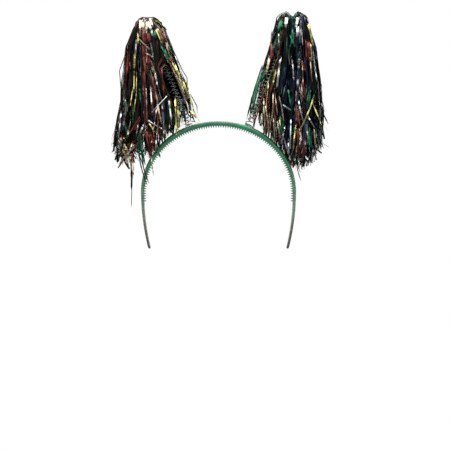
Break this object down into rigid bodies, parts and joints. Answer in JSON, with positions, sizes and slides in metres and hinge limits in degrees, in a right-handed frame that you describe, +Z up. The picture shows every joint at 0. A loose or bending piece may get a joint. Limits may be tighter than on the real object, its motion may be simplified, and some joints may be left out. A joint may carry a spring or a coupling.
{
  "type": "pompom headband",
  "caption": "Costume headband: a curved plastic band with comb teeth inside and, at each side, a coil spring that carries a shaggy pompom of metallic foil strips.",
  "frame": {"origin": "middle of the band's inner face at the crown, where it sits on the head", "axes": "+Z up from the head, -Y towards the viewer who faces the wearer, +X to that viewer's right"},
  "size_m": [0.2096, 0.0948, 0.2374],
  "materials": {
    "green_plastic": "glossy moulded plastic",
    "spring_wire": "bright drawn wire",
    "foil": "metallised film strips in dark, red, green, gold, copper and silver"
  },
  "bodies": {
    "root": {"headband": "green_plastic", "spring_left": "spring_wire", "spring_right": "spring_wire", "pompom_left": "foil", "pompom_right": "foil"}
  },
  "joints": []
}
